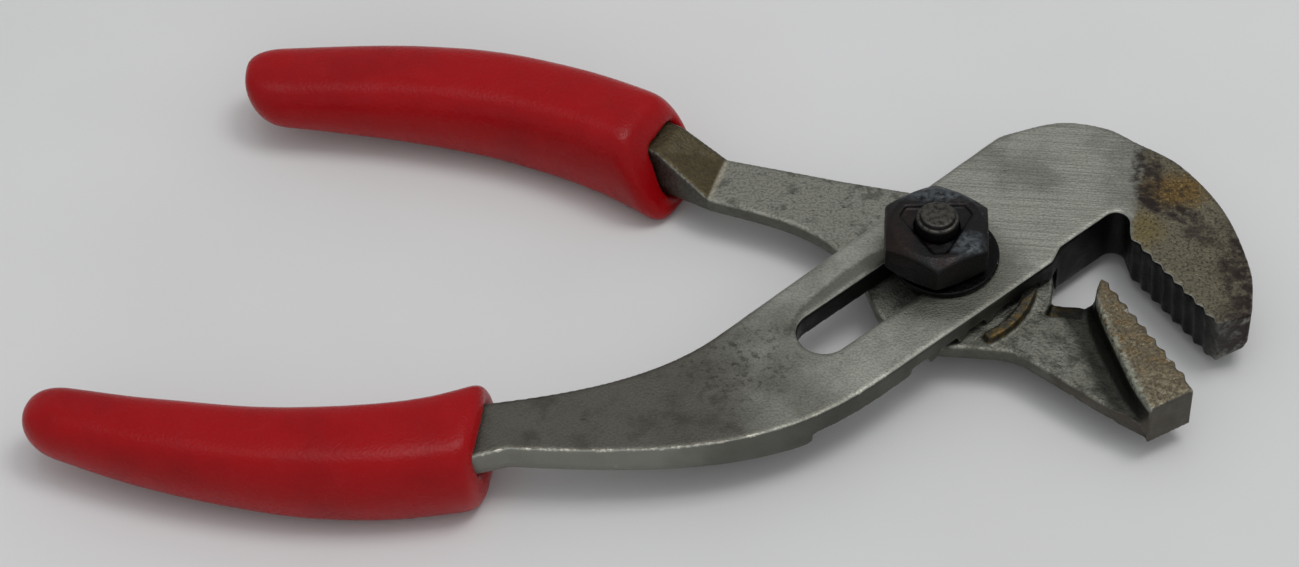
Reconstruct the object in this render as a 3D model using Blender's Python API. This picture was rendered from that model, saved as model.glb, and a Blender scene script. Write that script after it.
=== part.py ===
"""Tongue and groove pliers: two forged levers, a sliding bolted pivot and two dipped grips.

Sizes are in millimetres and turned into metres where meshes are made. The tool lies flat on the
plane z = 0 with +Z up. The pivot axis is the Z axis, so the origin is the middle of the bolt
head's lower face. Plan angles run anticlockwise from +X as seen from above.
"""

import math
from dataclasses import dataclass

import bmesh
import bpy
from mathutils import Vector

MM = 0.001

# Clearances
FACE_GAP = 0.15
SHANK_CLEARANCE = 0.10
THREAD_CLEARANCE = 0.10
GROOVE_CLEARANCE = 0.15
TANG_CLEARANCE = 0.20

# Pivot bolt, washer and nut
BOLT_HEAD_DIAMETER = 10.0
BOLT_HEAD_HEIGHT = 2.0
BOLT_HEAD_CHAMFER = 0.3
SHANK_DIAMETER = 4.7
THREAD_DIAMETER = 4.0
THREAD_CHAMFER = 0.15
BOLT_STICKOUT = 1.4
BOLT_POINT_DIAMETER = 3.3
BOLT_POINT_HEIGHT = 0.45
BOLT_POINT_ROUND = 0.3
WASHER_DIAMETER = 10.5
WASHER_BORE = 5.9
WASHER_THICKNESS = 0.5
WASHER_EDGE = 0.12
WASHER_SHIFT = 0.75
NUT_ACROSS_FLATS = 9.525
NUT_HEIGHT = 3.7
NUT_CROWN_INSET = 0.5
NUT_CORNER_CHAMFER = 0.9
NUT_TURN = math.radians(-1.6)
NUT_STAKE_RADIUS = 3.55
NUT_STAKE_CORNER = 1.3
NUT_STAKE_DEPTH = 0.3
NUT_STAKE_TURN = math.radians(-88.0)

# Joint plates
TONGUE_PLATE = 2.6
SLOTTED_PLATE = 2.6

# Slot, grooves and tongue
SLOT_DIRECTION = math.radians(41.0)
GROOVE_COUNT = 5
GROOVE_PITCH = 3.5
SLOT_MOUTH_FLARE = 0.3
SLOT_MOUTH_DEPTH = 0.2
TONGUE_RADIUS = 9.2
TONGUE_WIDTH = 1.0
TONGUE_HEIGHT = 0.85
TONGUE_END = math.radians(102.0)
CLOSING_ANGLE = math.radians(12.5)
JAW_RELIEF_RADIUS = 11.6
SHOULDER_RELIEF_RADIUS = 10.0

# Slotted lever: head edges are measured across from the slot's middle line
HEAD_LOWER_EDGE = 7.65
THROAT_EDGE = 6.8
THROAT_STEP = 7.9
THROAT_STEP_LENGTH = 1.8
THROAT_END = 18.7
THROAT_RADIUS = 1.2
HEAD_UPPER_EDGE = 7.15
HEAD_CORNER = 15.2
HEAD_CORNER_ROUND = 3.5
HEAD_CROWN = (12.4, 17.1)
NECK_UPPER_EDGE = 6.1
NECK_CORNER = -21.6
LOWER_EDGE_START = -14.0
NECK_NEAR_LEAD = (15.0, -0.9)
NECK_NEAR_PULL = 12.0
NECK_FAR_LEAD = (7.5, 1.1)
NECK_FAR_PULL = 7.5
SHOULDER_BOTTOM = 2.2
SLOTTED_JAW_BOTTOM = 1.3
SLOTTED_JAW_DRAFT = 0.5
SLOTTED_JAW_ROOT = (18.3, 2.95)
SLOTTED_JAW_ANGLE = math.radians(-56.0)
SLOTTED_JAW_TIP_WIDTH = 3.65
SLOTTED_JAW_TIP_ANGLE = math.radians(21.0)
SLOTTED_JAW_BACK = ((29.1, -5.3), (29.2, -1.2), (27.4, 5.8), (23.8, 11.5), (19.8, 14.5), (16.9, 16.4))
SLOTTED_TEETH = 9
TOOTH_PITCH = 1.57
TOOTH_DEPTH = 0.42
TOOTH_LEAN = 0.5

# Tongue lever: plan points from the pivot, edge corners with their rounding
NECK_NEAR_CURVE = ((-20.9, 9.4), (-17.2, 8.0), (-12.8, 7.0), (-9.6, 3.9))
NECK_FAR_CURVE = ((-19.0, 14.8), (-15.4, 13.9), (-12.2, 13.1), (-8.4, 12.1))
BOSS_EDGE = ((-6.95, 0.4, 6.0), (-5.3, -5.3, 5.0), (-1.0, -8.6, 4.0))
WEB_EDGE = ((7.0, -9.3, 5.0), (15.3, -16.1, 8.0), (19.1, -17.75, 0.0))
WEB_INNER_EDGE = ((19.4, -15.0), (15.65, -3.85), (15.1, -2.85))
PLATE_RADIUS = 11.2
PLATE_RIM_START = math.radians(-13.0)
PLATE_RIM_END = math.radians(28.0)
PLATE_FAR_CORNER = (4.6, 9.2)
PLATE_FAR_ROUND = 5.0
LEDGE_TOP = 3.5
LEDGE_START = math.radians(-25.0)
LEDGE_CORNER = (16.5, -5.6)
SWING_JAW_ROOT = (15.3, -2.25)
SWING_JAW_ANGLE = math.radians(-60.6)
SWING_JAW_TOP = 7.1
SWING_JAW_BOTTOM = 2.3
SWING_JAW_NOSE = 1.4
SWING_JAW_BACK = ((18.8, -18.15), (17.4, -14.9), (16.2, -10.9), (15.2, -7.4), (14.75, -5.0), (14.85, -3.5))
SWING_JAW_FLARE = 1.9
SWING_JAW_FILLET = 1.7
SWING_TEETH = 9

# Handles: the grip's middle line as its mouth, two bends and the tang's end
SLOTTED_HANDLE = ((-40.4, -19.9), (-51.5, -24.4), (-64.5, -22.5), (-79.5, -18.0))
SLOTTED_SET_OVER = -0.4
TONGUE_HANDLE = ((-25.3, 14.5), (-36.1, 22.3), (-48.2, 23.7), (-61.5, 24.1))
TONGUE_SET_OVER = 1.15
ROOT_WIDTH = 5.8
TANG_END_WIDTH = 3.2
NECK_THICKNESS = 3.9
TANG_END_THICKNESS = 3.0
TONGUE_ROOT_TOP = 6.8
TONGUE_ROOT_BOTTOM = 1.4
TONGUE_ROOT_DRAFT = 0.7

# Edge rounding of the forgings
TOP_EDGE = 0.25
JAW_EDGE = 0.15
HEAD_UNDER_EDGE = 0.5
NECK_UNDER_EDGE = 1.9
SHOULDER_UNDER_EDGE = 1.3
JAW_BACK_UNDER_EDGE = 2.2
TANG_END_EDGE = 1.0
SWING_JAW_UNDER_EDGE = 0.8

# Dipped grips
GRIP_MOUTH_WIDTH = 9.7
SLOTTED_GRIP_END_WIDTH = 6.3
TONGUE_GRIP_END_WIDTH = 8.0
GRIP_WIDTH_TAPER = 2.1
GRIP_MOUTH_THICKNESS = 9.4
GRIP_END_THICKNESS = 5.5
GRIP_THICKNESS_TAPER = 2.0
GRIP_FLATNESS = 1.3
GRIP_FLAT_EDGE = 8.0
GRIP_TIP = 4.0
GRIP_TIP_BLUNTNESS = 0.75
SLOTTED_TIP_LIFT = 0.9
TONGUE_TIP_LIFT = 2.4
GRIP_LIP = 0.1
GRIP_LIP_LENGTH = 6.0
GRIP_LIP_ROUND = 1.1
GRIP_LIP_INSET = 1.4
SLOTTED_MOUTH_SLANT = 0.59
SLOTTED_MOUTH_LEAN = 0.15
SLOTTED_MOUTH_SETBACK = 1.0
TONGUE_MOUTH_SLANT = -0.11
TONGUE_MOUTH_LEAN = 0.54
TONGUE_MOUTH_SETBACK = -0.45
GRIP_SLANT_LENGTH = 14.0

# Mesh fineness and the overrun of cutting shapes
ARC_STEP = math.radians(9.0)
FINE_STEP = math.radians(6.0)
ROUND_SIDES = 40
GRIP_SIDES = 32
GRIP_ROWS = 11
DOME_ROWS = 7
CURVE_STEPS = 6
TANG_STATIONS = 9
NECK_STATIONS = 14
MOUTH_STATIONS = 4
CUT_OVERRUN = 1.0

# Heights that follow from the stack on the bolt head
TONGUE_UNDER = BOLT_HEAD_HEIGHT + FACE_GAP
TONGUE_TOP = TONGUE_UNDER + TONGUE_PLATE
SLOTTED_UNDER = TONGUE_TOP + FACE_GAP
SLOTTED_TOP = SLOTTED_UNDER + SLOTTED_PLATE
WASHER_UNDER = SLOTTED_TOP + FACE_GAP
NUT_UNDER = WASHER_UNDER + WASHER_THICKNESS + FACE_GAP
NUT_TOP = NUT_UNDER + NUT_HEIGHT
SLOT_TRAVEL = GROOVE_PITCH * (GROOVE_COUNT - 1)
GRIP_MIDDLE = GRIP_MOUTH_THICKNESS / 2 + GRIP_LIP


@dataclass
class Edge:
    """How a lever's wall ends: its roundings and how far it leans in at the top or the bottom."""

    upper: float = TOP_EDGE
    under: float = HEAD_UNDER_EDGE
    top_in: float = 0.0
    bottom_in: float = 0.0


@dataclass
class Station:
    """One cross-section of a lever between its near and far edges."""

    near: Vector
    far: Vector
    top: float
    bottom: float
    edge: Edge


def plan(x, y):
    """Return a plan point."""
    return Vector((x, y))


def on_slot(along, across):
    """Return the plan point at a distance along the slot and across it, towards the lower edge."""
    cos, sin = math.cos(SLOT_DIRECTION), math.sin(SLOT_DIRECTION)
    return plan(along * cos + across * sin, along * sin - across * cos)


def polar(centre, radius, angle):
    """Return the plan point at a radius and plan angle from a centre."""
    return centre + radius * plan(math.cos(angle), math.sin(angle))


def arc(centre, radius, start, end, step=ARC_STEP):
    """Return points along an arc, both ends included."""
    count = max(2, math.ceil(abs(end - start) / step))
    return [polar(centre, radius, start + (end - start) * i / count) for i in range(count + 1)]


def bezier(start, start_handle, end_handle, end, shares):
    """Return the points of a cubic curve at the given shares of its run."""
    points = []
    for share in shares:
        rest = 1.0 - share
        near_part = rest**3 * start + 3 * rest**2 * share * start_handle
        far_part = 3 * rest * share**2 * end_handle + share**3 * end
        points.append(near_part + far_part)
    return points


def rounded(corners):
    """Return an open line through corners given as (point, radius), each corner turned into an arc."""
    line = [corners[0][0]]
    for before, (corner, radius), after in zip(corners, corners[1:], corners[2:]):
        to_before = (before[0] - corner).normalized()
        to_after = (after[0] - corner).normalized()
        half = to_before.angle(to_after) / 2
        if radius <= 0.0 or half > math.radians(89.0):
            line.append(corner)
            continue
        cut = radius / math.tan(half)
        centre = corner + (to_before + to_after).normalized() * radius / math.sin(half)
        first = corner + to_before * cut - centre
        last = corner + to_after * cut - centre
        turn = first.angle_signed(last)
        start = math.atan2(first.y, first.x)
        line.extend(arc(centre, radius, start, start - turn))
    line.append(corners[-1][0])
    return line


def smooth_line(points):
    """Return an open Catmull-Rom line through the points."""
    ends = [2 * points[0] - points[1], *points, 2 * points[-1] - points[-2]]
    line = [points[0]]
    for before, start, end, after in zip(ends, ends[1:], ends[2:], ends[3:]):
        shares = [(i + 1) / CURVE_STEPS for i in range(CURVE_STEPS)]
        line.extend(bezier(start, start + (end - before) / 6, end - (after - start) / 6, end, shares))
    return line


def toothed_edge(root, angle, count, side):
    """Return a row of teeth from a root along a plan angle; side is +1 or -1, where the teeth point."""
    run = plan(math.cos(angle), math.sin(angle))
    out = plan(-run.y, run.x) * side
    points = []
    for tooth in range(count):
        valley = root + run * TOOTH_PITCH * tooth
        points.append(valley)
        points.append(valley + run * TOOTH_PITCH * TOOTH_LEAN + out * TOOTH_DEPTH)
    points.append(root + run * TOOTH_PITCH * count)
    return points


def without_repeats(loop, least=0.02):
    """Return a closed loop without points that fall on the one before."""
    return [p for i, p in enumerate(loop) if (p - loop[i - 1]).length > least]


def insets(loop):
    """Return the inward move of each point of an anticlockwise loop for an inset of one."""
    moves = []
    for i, point in enumerate(loop):
        into = (point - loop[i - 1]).normalized()
        out_of = (loop[(i + 1) % len(loop)] - point).normalized()
        left_in, left_out = plan(-into.y, into.x), plan(-out_of.y, out_of.x)
        mitre = left_in + left_out
        moves.append(mitre / max(0.5, 1.0 + left_in.dot(left_out)))
    return moves


def new_object(name, shape, colour, roughness, metallic):
    """Turn a bmesh in millimetres into a named object with its own material."""
    bmesh.ops.remove_doubles(shape, verts=shape.verts, dist=0.002)
    bmesh.ops.triangulate(shape, faces=shape.faces)
    bmesh.ops.recalc_face_normals(shape, faces=shape.faces)
    bmesh.ops.scale(shape, vec=(MM, MM, MM), verts=shape.verts)
    mesh = bpy.data.meshes.new(name)
    shape.to_mesh(mesh)
    shape.free()
    mesh.shade_smooth()
    mesh.set_sharp_from_angle(angle=math.radians(32.0))
    material = bpy.data.materials.new(name)
    material.use_nodes = True
    shader = material.node_tree.nodes["Principled BSDF"]
    shader.inputs["Base Color"].default_value = (*colour, 1.0)
    shader.inputs["Roughness"].default_value = roughness
    shader.inputs["Metallic"].default_value = metallic
    mesh.materials.append(material)
    piece = bpy.data.objects.new(name, mesh)
    bpy.context.scene.collection.objects.link(piece)
    return piece


def forged_steel(name, shape):
    """Return an object with the levers' grey steel."""
    return new_object(name, shape, (0.20, 0.20, 0.19), 0.45, 1.0)


def black_steel(name, shape):
    """Return an object with the fasteners' blackened steel."""
    return new_object(name, shape, (0.02, 0.02, 0.025), 0.35, 1.0)


def red_plastic(name, shape):
    """Return an object with the grips' red plastic."""
    return new_object(name, shape, (0.55, 0.012, 0.02), 0.4, 0.0)


def cut(target, shape, operation="DIFFERENCE"):
    """Cut or join a bmesh in millimetres into an object."""
    tool = new_object(target.name + "_tool", shape, (0.5, 0.5, 0.5), 0.5, 0.0)
    tool.hide_render = True
    tool.hide_viewport = True
    tool.display_type = "WIRE"
    step = target.modifiers.new(operation.title(), "BOOLEAN")
    step.operation = operation
    step.solver = "EXACT"
    step.object = tool


def skin(rings, first_cap, last_cap):
    """Return a closed bmesh through rings of points of equal count, with capping faces given as index lists."""
    shape = bmesh.new()
    grid = [[shape.verts.new(point) for point in ring] for ring in rings]
    count = len(rings[0])
    for upper, lower in zip(grid, grid[1:]):
        for i in range(count):
            j = (i + 1) % count
            shape.faces.new((upper[i], upper[j], lower[j], lower[i]))
    for ring, cap in ((grid[0], first_cap), (grid[-1], last_cap)):
        for indices in cap:
            shape.faces.new([ring[i] for i in indices])
    return shape


def prism(loop, bottom, top):
    """Return a straight-sided bmesh of a plan loop."""
    rings = [[(p.x, p.y, z) for p in loop] for z in (top, bottom)]
    whole = [list(range(len(loop)))]
    return skin(rings, whole, whole)


def turned(profile, sides=ROUND_SIDES, centre=(0.0, 0.0)):
    """Return a bmesh turned about a vertical line from (radius, height) pairs, top to bottom."""
    rings = []
    for radius, height in profile:
        loop = [polar(plan(*centre), radius, math.tau * i / sides) for i in range(sides)]
        rings.append([(p.x, p.y, height) for p in loop])
    whole = [list(range(sides))]
    return skin(rings, whole, whole)


def forging(stations, head, head_top, head_bottom, head_edges):
    """Return a bmesh of a lever: its handle's stations, then a flat head with rounded edges.

    head_edges holds one edge for each head point.
    """
    count = len(stations)
    loop = [s.near for s in stations] + head + [s.far for s in reversed(stations)]
    tops = [s.top for s in stations]
    bottoms = [s.bottom for s in stations]
    edges = [s.edge for s in stations]
    tops += [head_top] * len(head) + tops[::-1]
    bottoms += [head_bottom] * len(head) + bottoms[::-1]
    edges += head_edges + edges[::-1]
    moves = insets(loop)
    rings = []
    for turn in (0.0, math.pi / 4, math.pi / 2):
        ring = []
        for p, move, z, edge in zip(loop, moves, tops, edges):
            q = p + move * (edge.top_in + edge.upper * (1 - math.sin(turn)))
            ring.append((q.x, q.y, z - edge.upper * (1 - math.cos(turn))))
        rings.append(ring)
    for turn in (0.0, math.pi / 6, math.pi / 3, math.pi / 2):
        ring = []
        for p, move, z, edge in zip(loop, moves, bottoms, edges):
            q = p + move * (edge.bottom_in + edge.under * (1 - math.cos(turn)))
            ring.append((q.x, q.y, z + edge.under * (1 - math.sin(turn))))
        rings.append(ring)
    last = len(loop) - 1
    cap = [[i, i + 1, last - i - 1, last - i] for i in range(count - 1)]
    if head:
        cap.append(list(range(count - 1, len(loop) - count + 1)))
    return skin(rings, cap, cap)


def between(start, end, share):
    """Return the value at a share of the way from a start to an end."""
    return start + (end - start) * share


class Handle:
    """The bent middle line of a handle, from its grip's mouth over two bends to the end of its tang."""

    def __init__(self, line, set_over):
        self.line = [plan(*p) for p in line]
        self.set_over = set_over
        self.length = (self.line[-1] - self.line[0]).length

    def chord(self, share):
        """Return two points of the straight line that touches the middle line at a share of its length."""
        points = self.line
        while len(points) > 2:
            points = [between(first, second, share) for first, second in zip(points, points[1:])]
        return points

    def run(self, share):
        """Return the direction towards the head at a share of the handle's length."""
        first, second = self.chord(min(share, 1.0))
        return (first - second).normalized()

    def point(self, share):
        """Return the middle line's point at a share of the length, going straight on past the end."""
        bend = min(share, 1.0)
        first, second = self.chord(bend)
        return between(first, second, bend) - self.run(share) * (share - bend) * self.length

    def far_side(self, share):
        """Return the direction across the handle, a quarter turn left of its run."""
        run = self.run(share)
        return plan(-run.y, run.x)

    def tang(self, root):
        """Return the tang's stations from its end to its root, whose heights and edge are those of a station."""
        stations = []
        for i in range(TANG_STATIONS):
            share = 1 - i / (TANG_STATIONS - 1)
            half = between(ROOT_WIDTH, TANG_END_WIDTH, share) / 2
            side = self.far_side(share)
            middle = self.point(share) + side * self.set_over * (1 - share)
            top = between(root.top, GRIP_MIDDLE + TANG_END_THICKNESS / 2, share)
            bottom = between(root.bottom, GRIP_MIDDLE - TANG_END_THICKNESS / 2, share)
            under = between(root.edge.under, TANG_END_EDGE, share)
            edge = Edge(TOP_EDGE, under, root.edge.top_in * (1 - share))
            stations.append(Station(middle - side * half, middle + side * half, top, bottom, edge))
        return stations


slotted_handle = Handle(SLOTTED_HANDLE, SLOTTED_SET_OVER)
tongue_handle = Handle(TONGUE_HANDLE, TONGUE_SET_OVER)


def slotted_stations():
    """Return the slotted lever's stations from its tang's end to where its head begins."""
    bottom = SLOTTED_TOP - NECK_THICKNESS
    middle = slotted_handle.point(0.0)
    tang = slotted_handle.tang(Station(middle, middle, SLOTTED_TOP, bottom, Edge(TOP_EDGE, NECK_UNDER_EDGE)))
    root = tang[-1]
    shares = [(i + 1) / NECK_STATIONS for i in range(NECK_STATIONS)]
    near_end = on_slot(LOWER_EDGE_START, HEAD_LOWER_EDGE)
    near_lead = root.near + plan(*NECK_NEAR_LEAD)
    near = bezier(root.near, near_lead, near_end - on_slot(NECK_NEAR_PULL, 0.0), near_end, shares)
    far_end = on_slot(NECK_CORNER, -NECK_UPPER_EDGE)
    far_pull = (on_slot(HEAD_CORNER, -HEAD_UPPER_EDGE) - far_end).normalized() * NECK_FAR_PULL
    far = bezier(root.far, root.far + plan(*NECK_FAR_LEAD), far_end - far_pull, far_end, shares)
    neck = []
    for share, near_point, far_point in zip(shares, near, far):
        edge = Edge(TOP_EDGE, between(NECK_UNDER_EDGE, SHOULDER_UNDER_EDGE, share))
        under = between(bottom, SHOULDER_BOTTOM, share**2)
        neck.append(Station(near_point, far_point, SLOTTED_TOP, under, edge))
    return tang + neck


def slotted_lever():
    """Return the slotted lever: handle, head, fixed jaw, slot and grooves."""
    stations = slotted_stations()
    teeth = toothed_edge(plan(*SLOTTED_JAW_ROOT), SLOTTED_JAW_ANGLE, SLOTTED_TEETH, -1)[:-1]
    tip = polar(teeth[-1], SLOTTED_JAW_TIP_WIDTH, SLOTTED_JAW_TIP_ANGLE)
    throat = rounded(
        [
            (on_slot(THROAT_STEP, HEAD_LOWER_EDGE), 0.0),
            (on_slot(THROAT_STEP + THROAT_STEP_LENGTH, THROAT_EDGE), 0.0),
            (on_slot(THROAT_END, THROAT_EDGE), THROAT_RADIUS),
            (teeth[0], 0.0),
        ]
    )[:-1]
    corner = on_slot(HEAD_CORNER, -HEAD_UPPER_EDGE)
    line = smooth_line([tip, *(plan(*p) for p in SLOTTED_JAW_BACK), plan(*HEAD_CROWN), corner])
    bend = rounded([(line[-2], 0.0), (corner, HEAD_CORNER_ROUND), (stations[-1].far, 0.0)])[1:-1]
    back_end = CURVE_STEPS * len(SLOTTED_JAW_BACK) + 1
    back, crown = line[:back_end], line[back_end:-1] + bend
    edges = [Edge()] * len(throat)
    edges += [Edge(JAW_EDGE, JAW_EDGE, bottom_in=SLOTTED_JAW_DRAFT)] * len(teeth)
    edges += [Edge(under=JAW_BACK_UNDER_EDGE)] * len(back)
    edges += [Edge()] * len(crown)
    shape = forging(stations, throat + teeth + back + crown, SLOTTED_TOP, SLOTTED_JAW_BOTTOM, edges)
    lever = forged_steel("slotted_lever", shape)

    first, last = plan(0.0, 0.0), on_slot(-SLOT_TRAVEL, 0.0)
    left, right = SLOT_DIRECTION + math.pi / 2, SLOT_DIRECTION - math.pi / 2
    reach = JAW_RELIEF_RADIUS + SHOULDER_RELIEF_RADIUS
    relief = arc(first, JAW_RELIEF_RADIUS, right, left, FINE_STEP)
    relief += [on_slot(0.0, -reach), on_slot(-SLOT_TRAVEL, -reach)]
    relief += arc(last, SHOULDER_RELIEF_RADIUS, left, right + math.tau, FINE_STEP)
    relief += [on_slot(-SLOT_TRAVEL, reach), on_slot(0.0, reach)]
    cut(lever, prism(relief, -CUT_OVERRUN, SLOTTED_UNDER))

    half = SHANK_DIAMETER / 2 + SHANK_CLEARANCE
    rings = []
    for width, height in (
        (half + SLOT_MOUTH_FLARE * 2, SLOTTED_TOP + SLOT_MOUTH_DEPTH),
        (half, SLOTTED_TOP - SLOT_MOUTH_DEPTH),
        (half, SLOTTED_UNDER - CUT_OVERRUN),
    ):
        loop = arc(first, width, right, left) + arc(last, width, left, right + math.tau)
        rings.append([(p.x, p.y, height) for p in loop])
    whole = [list(range(len(rings[0])))]
    cut(lever, skin(rings, whole, whole))

    inner, outer = tongue_radii(GROOVE_CLEARANCE)
    start = SLOT_DIRECTION - TONGUE_END
    end = SLOT_DIRECTION - tongue_start(outer) + CLOSING_ANGLE + GROOVE_CLEARANCE / inner
    depth = TONGUE_HEIGHT - FACE_GAP + GROOVE_CLEARANCE
    for position in range(GROOVE_COUNT):
        centre = on_slot(-GROOVE_PITCH * position, 0.0)
        loop = arc(centre, outer, start, end, FINE_STEP) + arc(centre, inner, end, start, FINE_STEP)
        cut(lever, prism(loop, SLOTTED_UNDER - CUT_OVERRUN, SLOTTED_UNDER + depth))
    return lever


def tongue_radii(clearance=0.0):
    """Return the tongue's inner and outer radius, widened by a clearance on both sides."""
    half = TONGUE_WIDTH / 2 + clearance
    return TONGUE_RADIUS - half, TONGUE_RADIUS + half


def tongue_start(radius):
    """Return the angle from the slot where the tongue begins at a radius, just outside the other lever's edge."""
    return math.asin((HEAD_LOWER_EDGE + GROOVE_CLEARANCE) / radius)


def tongue_stations():
    """Return the tongue lever's stations from its tang's end to where its boss begins."""
    middle = tongue_handle.point(0.0)
    edge = Edge(TOP_EDGE, NECK_UNDER_EDGE, TONGUE_ROOT_DRAFT)
    tang = tongue_handle.tang(Station(middle, middle, TONGUE_ROOT_TOP, TONGUE_ROOT_BOTTOM, edge))
    shares = [i / NECK_STATIONS for i in range(NECK_STATIONS + 1)]
    near = bezier(*(plan(*p) for p in NECK_NEAR_CURVE), shares)
    far = bezier(*(plan(*p) for p in NECK_FAR_CURVE), shares)
    edge = Edge(TOP_EDGE, NECK_UNDER_EDGE)
    return tang + [Station(n, f, TONGUE_TOP, TONGUE_UNDER, edge) for n, f in zip(near, far)]


def swing_jaw():
    """Return a bmesh of the tongue lever's jaw block, whose back runs out in a fillet at its foot."""
    teeth = toothed_edge(plan(*SWING_JAW_ROOT), SWING_JAW_ANGLE, SWING_TEETH, 1)
    tip = polar(teeth[-1], SWING_JAW_NOSE, SWING_JAW_ANGLE)
    back = smooth_line([plan(*p) for p in SWING_JAW_BACK])
    loop = back[::-1] + [tip] + teeth[::-1]
    spread = [math.sqrt(math.sin(math.pi * i / (len(back) - 1))) for i in range(len(back))]
    spread += [0.0] * (len(loop) - len(back))
    levels = [(SWING_JAW_TOP, JAW_EDGE, 0.0), (SWING_JAW_TOP - JAW_EDGE, 0.0, 0.0)]
    for turn in (math.pi / 6, math.pi / 3, math.pi / 2):
        foot = TONGUE_TOP - FACE_GAP + SWING_JAW_FILLET * (1 - math.sin(turn))
        levels.append((foot, 0.0, SWING_JAW_FLARE * (1 - math.cos(turn))))
    levels.append((SWING_JAW_BOTTOM + SWING_JAW_UNDER_EDGE, 0.0, 0.0))
    levels.append((SWING_JAW_BOTTOM, 0.0, -SWING_JAW_UNDER_EDGE))
    moves = insets(loop)
    rings = []
    for height, inset, flare in levels:
        ring = [p + move * (inset - flare * share) for p, move, share in zip(loop, moves, spread)]
        rings.append([(p.x, p.y, height) for p in ring])
    whole = [list(range(len(loop)))]
    return skin(rings, whole, whole)


def tongue_lever():
    """Return the tongue lever: handle, boss, web, tongue and swinging jaw."""
    stations = tongue_stations()
    origin = plan(0.0, 0.0)
    corners = [(stations[-1].near, 0.0)]
    corners += [(plan(x, y), radius) for x, y, radius in (*BOSS_EDGE, *WEB_EDGE)]
    corners += [(plan(x, y), 0.0) for x, y in WEB_INNER_EDGE]
    lower = without_repeats(rounded(corners)[1:])
    rim = arc(origin, PLATE_RADIUS, PLATE_RIM_START, PLATE_RIM_END, FINE_STEP)
    far = rounded([(rim[-1], 0.0), (plan(*PLATE_FAR_CORNER), PLATE_FAR_ROUND), (stations[-1].far, 0.0)])[1:-1]
    jaw_side = WEB_EDGE[-1][0]
    edges = [Edge(under=max(TOP_EDGE, min(NECK_UNDER_EDGE, (jaw_side - p.x) / 2))) for p in lower]
    edges += [Edge()] * len(rim + far)
    shape = forging(stations, lower + rim + far, TONGUE_TOP, TONGUE_UNDER, edges)
    lever = forged_steel("tongue_lever", shape)
    ledge = arc(origin, PLATE_RADIUS, 0.0, LEDGE_START, FINE_STEP)
    ledge += [plan(*LEDGE_CORNER), plan(LEDGE_CORNER[0], 0.0)]
    cut(lever, prism(ledge, LEDGE_TOP, TONGUE_TOP + CUT_OVERRUN))
    cut(lever, swing_jaw(), "UNION")
    inner, outer = tongue_radii()
    tongue = []
    for radius in (outer, inner):
        start, end = SLOT_DIRECTION - TONGUE_END, SLOT_DIRECTION - tongue_start(radius)
        tongue.append(arc(origin, radius, start, end, FINE_STEP))
    loop = tongue[0] + tongue[1][::-1]
    cut(lever, prism(loop, TONGUE_UNDER + CUT_OVERRUN, TONGUE_TOP + TONGUE_HEIGHT), "UNION")
    bore = SHANK_DIAMETER / 2 + SHANK_CLEARANCE
    cut(lever, turned([(bore, TONGUE_TOP + CUT_OVERRUN), (bore, TONGUE_UNDER - CUT_OVERRUN)]))
    return lever


def pivot_bolt():
    """Return the bolt: low round head, shank through both levers, thread and rounded point."""
    head, shank, thread = BOLT_HEAD_DIAMETER / 2, SHANK_DIAMETER / 2, THREAD_DIAMETER / 2
    point = BOLT_POINT_DIAMETER / 2
    shoulder = SLOTTED_TOP - FACE_GAP
    end = NUT_TOP + BOLT_STICKOUT
    thread_end = end - BOLT_POINT_HEIGHT
    profile = []
    for turn in (0.0, math.pi / 6, math.pi / 3, math.pi / 2):
        radius = point - BOLT_POINT_ROUND * (1 - math.sin(turn))
        profile.append((radius, end - BOLT_POINT_ROUND * (1 - math.cos(turn))))
    profile += [
        (point, thread_end),
        (thread - THREAD_CHAMFER, thread_end),
        (thread, thread_end - THREAD_CHAMFER),
        (thread, shoulder),
        (shank, shoulder),
        (shank, BOLT_HEAD_HEIGHT),
        (head - BOLT_HEAD_CHAMFER, BOLT_HEAD_HEIGHT),
        (head, BOLT_HEAD_HEIGHT - BOLT_HEAD_CHAMFER),
        (head, BOLT_HEAD_CHAMFER),
        (head - BOLT_HEAD_CHAMFER, 0.0),
    ]
    return black_steel("pivot_bolt", turned(profile))


def pivot_washer():
    """Return the washer, which sits to one side within its bore's play."""
    outer, bore = WASHER_DIAMETER / 2, WASHER_BORE / 2
    centre = (WASHER_SHIFT, 0.0)
    top = WASHER_UNDER + WASHER_THICKNESS
    profile = [(outer - WASHER_EDGE, top), (outer, top - WASHER_EDGE), (outer, WASHER_UNDER)]
    washer = black_steel("pivot_washer", turned(profile, centre=centre))
    cut(washer, turned([(bore, top + CUT_OVERRUN), (bore, WASHER_UNDER - CUT_OVERRUN)], centre=centre))
    return washer


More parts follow.
